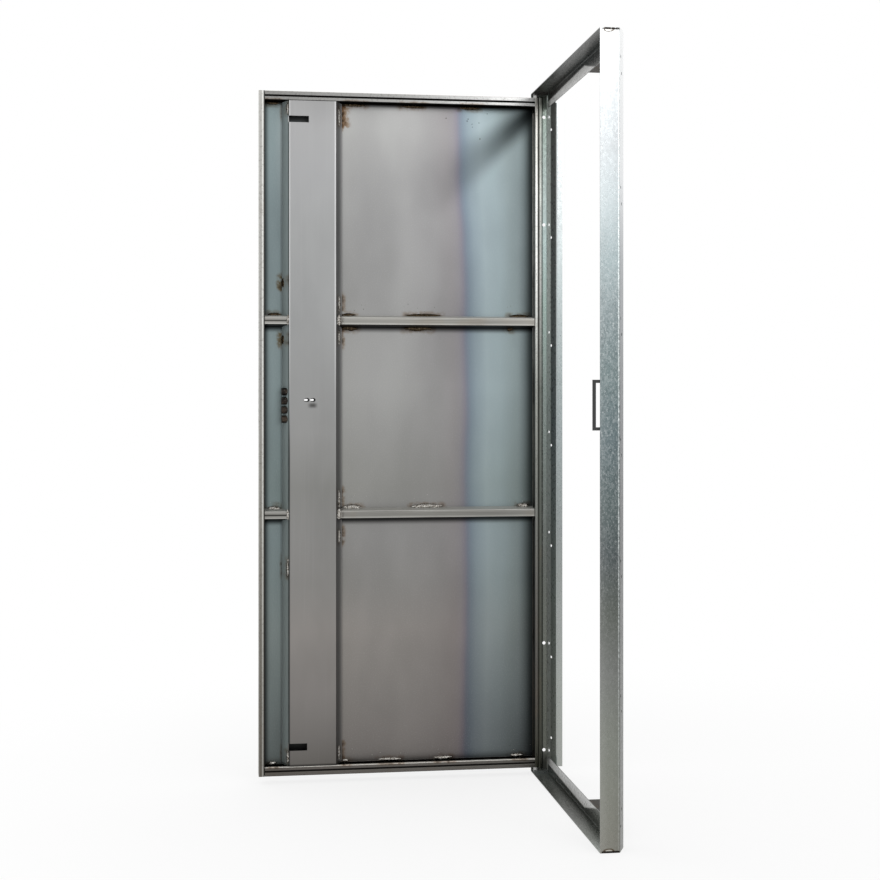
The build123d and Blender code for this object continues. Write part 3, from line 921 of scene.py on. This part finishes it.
# Material of each slot of the record, and of the nodes that have one of their own
slot_material = {
    "galvanised": zinc_look(),
    "raw_steel": channel_look(),
    "edge_steel": hinge_stile_look(),
    "plain_steel": scale_look(),
    "bright_steel": turned_look("turned_steel", "8d8d8c", "b5b5b3"),
    "black_bar": black_look(),
    "brass": turned_look("turned_brass", "8f7440", "c2a463"),
}
own_material = {
    "leaf_skin": sheet_look(),
    "head": head_zinc,
    "sill": sill_zinc,
    "lock_stile": lock_stile_look(),
    "top_rail": top_rail,
    "bottom_rail": bottom_rail,
    "upper_corner_plate": plate,
    "lower_corner_plate": plate,
    "bottom_pivot_plate": sill_zinc,
    "top_pivot_plate": head_zinc,
}
for level in ("upper", "lower"):
    for kind, centre_line in (("", 0.0), ("short_", 0.85)):
        node = level + "_" + kind + "stiffener"
        own_material[node] = stiffener_look(level + "_" + kind + "bar", node, centre_line)


def dress(node, material):
    """Gives a node its material."""
    slots = nodes[node].data.materials
    slots.clear()
    slots.append(material)


for part in frame["record"]["subparts"]:
    dress(part["node"], own_material.get(part["node"], slot_material[part["material_slot"]]))

# Form of the weld beads: lengths in metres, counts, the power of the rounded ends, and shares
bead_step = 0.0011
bead_ripple = 0.0034
bead_sides = 10
fewest_rows = 8
end_share = 0.04
end_power = 0.6
ripple_share = 0.10
wander_kept_share = 0.88
wander_step_share = 0.08
wander_side_share = 0.5
sunk_share = 0.2
weld_bite = 0.0008

# Spatter: how far past a bead and above it drops lie, their radii, and their rings' lifts and widths
spatter_past = 0.03
spatter_rise = (0.006, 0.035)
spatter_radius = (0.0005, 0.0012)
spot_radius = (0.0012, 0.0020)
drop_ring_shares = ((-0.2, 0.8), (0.15, 1.0), (0.55, 0.75))
drop_sides = 7

# Directions that beads and drops stand out in
off_sheet = (1, 0, 0)
upward = (1, 0, 0.6)
downward = (1, 0, -0.6)
off_free_wall = (0.43, -0.9, 0)
off_free_foot = (0.6, -0.8, 0)
off_hinge_wall = (0.43, 0.9, 0)


def closed_mesh(name, points, faces, material, body):
    """Object from points and faces that rides on a body."""
    mesh = bpy.data.meshes.new(name)
    mesh.from_pydata(points, [], faces)
    mesh.validate()
    for face in mesh.polygons:
        face.use_smooth = True
    piece = bpy.data.objects.new(name, mesh)
    bpy.context.scene.collection.objects.link(piece)
    mesh.materials.append(material)
    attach(piece, body)


def close_rings(faces, first, rings, sides):
    """Faces of a closed tube over rings of points that follow each other, with both ends capped."""
    for ring in range(rings - 1):
        low = first + ring * sides
        for step in range(sides):
            after = (step + 1) % sides
            faces.append((low + step, low + after, low + sides + after, low + sides + step))
    last = first + (rings - 1) * sides
    faces.append(tuple(first + step for step in reversed(range(sides))))
    faces.append(tuple(last + step for step in range(sides)))


def add_bead(points, faces, start, end, outward, width, height, draw):
    """Rippled weld bead from start to end: a closed ridge whose section is a flattened oval."""
    run = end - start
    along = run.normalized()
    out = Vector(outward).normalized()
    side = along.cross(out).normalized()
    rows = max(fewest_rows, int(run.length / bead_step))
    first = len(points)
    phase = draw.uniform(0, math.tau)
    wander = 0.0
    for row in range(rows + 1):
        share = row / rows
        round_end = max(end_share, 1 - (2 * share - 1) ** 2) ** end_power
        ripple = 1 + ripple_share * math.sin(phase + math.tau * share * run.length / bead_ripple)
        wander = wander_kept_share * wander + draw.uniform(-1, 1) * wander_step_share
        half = width / 2 * round_end * (ripple + wander)
        tall = height * round_end * (ripple + wander)
        centre = start + run * share + side * wander * width * wander_side_share
        for step in range(bead_sides):
            angle = math.tau * step / bead_sides
            lift = math.sin(angle)
            tall_here = tall if lift > 0 else height * sunk_share
            points.append(centre + side * math.cos(angle) * half + out * lift * tall_here)
    close_rings(faces, first, rows + 1, bead_sides)


def add_drop(points, faces, centre, outward, radius):
    """Small flattened drop of spatter on a surface."""
    out = Vector(outward).normalized()
    side = out.orthogonal().normalized()
    other = out.cross(side)
    first = len(points)
    for lift, wide in drop_ring_shares:
        for step in range(drop_sides):
            angle = math.tau * step / drop_sides
            reach = side * math.cos(angle) + other * math.sin(angle)
            points.append(centre + reach * radius * wide + out * radius * lift)
    close_rings(faces, first, len(drop_ring_shares), drop_sides)


def leaf_welds(name, runs, place, outward, width, seed, height=0.004, material=weld, spatter=0):
    """Beads along the runs, with spatter thrown on the sheet around them. None goes through the sheet."""
    draw = random.Random(seed)
    points = []
    faces = []
    for low, high in runs:
        add_bead(points, faces, place(low), place(high), outward, width, height, draw)
        for _ in range(spatter):
            at = place(draw.uniform(low - spatter_past, high + spatter_past))
            at.x = sheet_face
            at.z += draw.uniform(*spatter_rise)
            add_drop(points, faces, at, off_sheet, draw.uniform(*spatter_radius))
    for point in points:
        point.x = max(point.x, sheet_face - weld_bite)
    closed_mesh("welds_" + name, points, faces, material, "leaf")


def scatter_spots(name, spots, seed, material):
    """Single drops of spatter on the sheet."""
    draw = random.Random(seed)
    points = []
    faces = []
    for along, height in spots:
        at = Vector((sheet_face, along, height))
        add_drop(points, faces, at, off_sheet, draw.uniform(*spot_radius))
    closed_mesh(name, points, faces, material, "leaf")


def toe(line, rise, depth=0.0):
    """Places along a level line, raised by rise and as far off the sheet as depth says."""
    return lambda along: Vector((sheet_face + depth, along, line + rise))


def flank(line, side, drop):
    """Places on one of the channel's leaning walls, as far below its upright bend as drop says."""
    return lambda along: Vector((channel_high.x - drop, line + side * drop * wall_lean, along))


def stiffener_end(line, node):
    """Places across a stiffener's crown where it meets the channel."""
    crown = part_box(node)[1].x
    return lambda along: Vector((crown, line, along))


# Burnt spatter near the top of the sheet, as places along its width and height
sheet_spots = [
    (-0.286, 1.969), (-0.222, 1.962), (-0.219, 1.968), (-0.207, 1.953),
    (-0.206, 1.944), (-0.186, 1.957), (-0.161, 1.985), (-0.183, 1.909),
]

# Where the beads across the stiffeners' ends run
end_bead_below = 0.014
end_bead_above = 0.018
hinge_end = hinge_bend + 0.009
free_end = free_bend - 0.004

leaf_welds(
    "upper_stiffener", upper_stiffener_runs, toe(upper_stiffener_line, rise=0.001, depth=0.004),
    upward, width=0.013, seed=1, material=burnt_weld, spatter=5,
)
leaf_welds(
    "under_stiffener", under_stiffener_runs, toe(under_stiffener_line, rise=-0.003, depth=0.003),
    downward, width=0.014, seed=13, material=burnt_weld,
)
leaf_welds(
    "lower_stiffener", lower_stiffener_runs, toe(lower_stiffener_line, rise=0.002, depth=0.005),
    upward, width=0.018, height=0.006, seed=2, spatter=6,
)
leaf_welds(
    "short_stiffener", short_stiffener_runs, toe(lower_stiffener_line, rise=0.001, depth=0.004),
    upward, width=0.015, height=0.005, seed=3, spatter=4,
)
leaf_welds(
    "upper_short_stiffener", short_stiffener_runs, toe(upper_stiffener_line, rise=0.001, depth=0.004),
    upward, width=0.013, seed=14, material=burnt_weld,
)
leaf_welds(
    "top_rail", top_rail_runs, toe(top_rail_line, rise=-0.003),
    downward, width=0.010, height=0.003, seed=4, material=burnt_weld,
)
leaf_welds(
    "bottom_rail", bottom_rail_runs, toe(bottom_rail_line, rise=0.004),
    upward, width=0.011, seed=5, spatter=6,
)
leaf_welds(
    "free_bend", free_bend_runs, flank(free_bend, side=-1, drop=0.009),
    off_free_wall, width=0.012, seed=6,
)
leaf_welds(
    "free_foot", free_foot_runs, flank(free_bend, side=-1, drop=0.036),
    off_free_foot, width=0.012, seed=15, material=burnt_weld,
)
leaf_welds(
    "hinge_bend", hinge_bend_runs, flank(hinge_bend, side=1, drop=0.022),
    off_hinge_wall, width=0.014, seed=7,
)
for node, long_seed, short_seed in (("upper_stiffener", 8, 10), ("lower_stiffener", 9, 11)):
    middle = (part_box(node)[0].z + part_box(node)[1].z) / 2
    crossing = [(middle - end_bead_below, middle + end_bead_above)]
    short = node.replace("stiffener", "short_stiffener")
    leaf_welds(
        "end_" + node, crossing, stiffener_end(hinge_end, node),
        off_sheet, width=0.012, height=0.003, seed=long_seed,
    )
    leaf_welds(
        "end_" + short, crossing, stiffener_end(free_end, short),
        off_sheet, width=0.009, height=0.003, seed=short_seed,
    )
scatter_spots("spatter_top", sheet_spots, 12, burnt_weld)


def floor_look():
    """Pale floor that keeps the shadow near the door and runs out to white."""
    shadow_radius = 0.5
    white_radius = 2.4
    white_at_door = 0.76
    look = Look("pale_floor", metallic=0.0)
    look.finish(grey(0.94), 0.9)
    white = look.nodes.new("ShaderNodeEmission")
    white.inputs["Strength"].default_value = 1.0
    blend = look.nodes.new("ShaderNodeMixShader")
    distance = look.length(look.x, look.y)
    look.feed(blend.inputs[0], look.fade(distance, shadow_radius, white_radius, white_at_door, 1.0))
    look.links.new(look.shader.outputs[0], blend.inputs[1])
    look.links.new(white.outputs[0], blend.inputs[2])
    look.links.new(blend.outputs[0], look.nodes["Material Output"].inputs["Surface"])
    return look.material


def make_floor():
    """Round floor that the door stands on."""
    radius = 9.0
    around = 96
    rim = []
    for step in range(around):
        angle = math.tau * step / around
        rim.append((radius * math.cos(angle), radius * math.sin(angle), 0.0))
    mesh = bpy.data.meshes.new("floor")
    mesh.from_pydata(rim, [], [tuple(range(around))])
    floor = bpy.data.objects.new("floor", mesh)
    bpy.context.scene.collection.objects.link(floor)
    mesh.materials.append(floor_look())


def make_world():
    """White surround: full white where it is seen or mirrored, softer as a light."""
    light_level = 0.9
    seen_level = 1.0
    world = bpy.data.worlds.new("studio")
    bpy.context.scene.world = world
    world.use_nodes = True
    tree = world.node_tree
    back = tree.nodes["Background"]
    back.inputs["Color"].default_value = grey(WHITE)
    path = tree.nodes.new("ShaderNodeLightPath")
    seen = path.outputs["Is Camera Ray"]
    for ray in ("Is Glossy Ray", "Is Transmission Ray"):
        either = tree.nodes.new("ShaderNodeMath")
        either.operation = "MAXIMUM"
        tree.links.new(seen, either.inputs[0])
        tree.links.new(path.outputs[ray], either.inputs[1])
        seen = either.outputs[0]
    level = tree.nodes.new("ShaderNodeMapRange")
    level.inputs["To Min"].default_value = light_level
    level.inputs["To Max"].default_value = seen_level
    tree.links.new(seen, level.inputs["Value"])
    tree.links.new(level.outputs[0], back.inputs["Strength"])


def make_softbox():
    """One large soft lamp, high on the indoor side in front of the door."""
    place = (5.2, 2.3, 3.3)
    target = Vector((0.0, 0.0, 1.2))
    lamp = bpy.data.lights.new("softbox", "AREA")
    lamp.shape = "RECTANGLE"
    lamp.size = 2.6
    lamp.size_y = 2.4
    lamp.energy = 60
    holder = bpy.data.objects.new("softbox", lamp)
    holder.location = place
    aim = target - holder.location
    holder.rotation_euler = aim.to_track_quat("-Z", "Y").to_euler()
    bpy.context.scene.collection.objects.link(holder)


def make_camera():
    """Level camera at the photograph's place; the shift sets the horizon's row."""
    data = bpy.data.cameras.new("camera")
    data.sensor_width = sensor
    data.lens = sensor * focal_pixels / image_size
    data.shift_y = (horizon_row - image_size / 2) / image_size
    camera = bpy.data.objects.new("camera", data)
    camera.location = camera_place
    camera.rotation_euler = (math.pi / 2, 0, math.radians(90 - camera_turn_deg))
    bpy.context.scene.collection.objects.link(camera)
    bpy.context.scene.camera = camera


make_floor()
make_world()
make_softbox()
make_camera()
bpy.context.scene.view_settings.view_transform = "Standard"
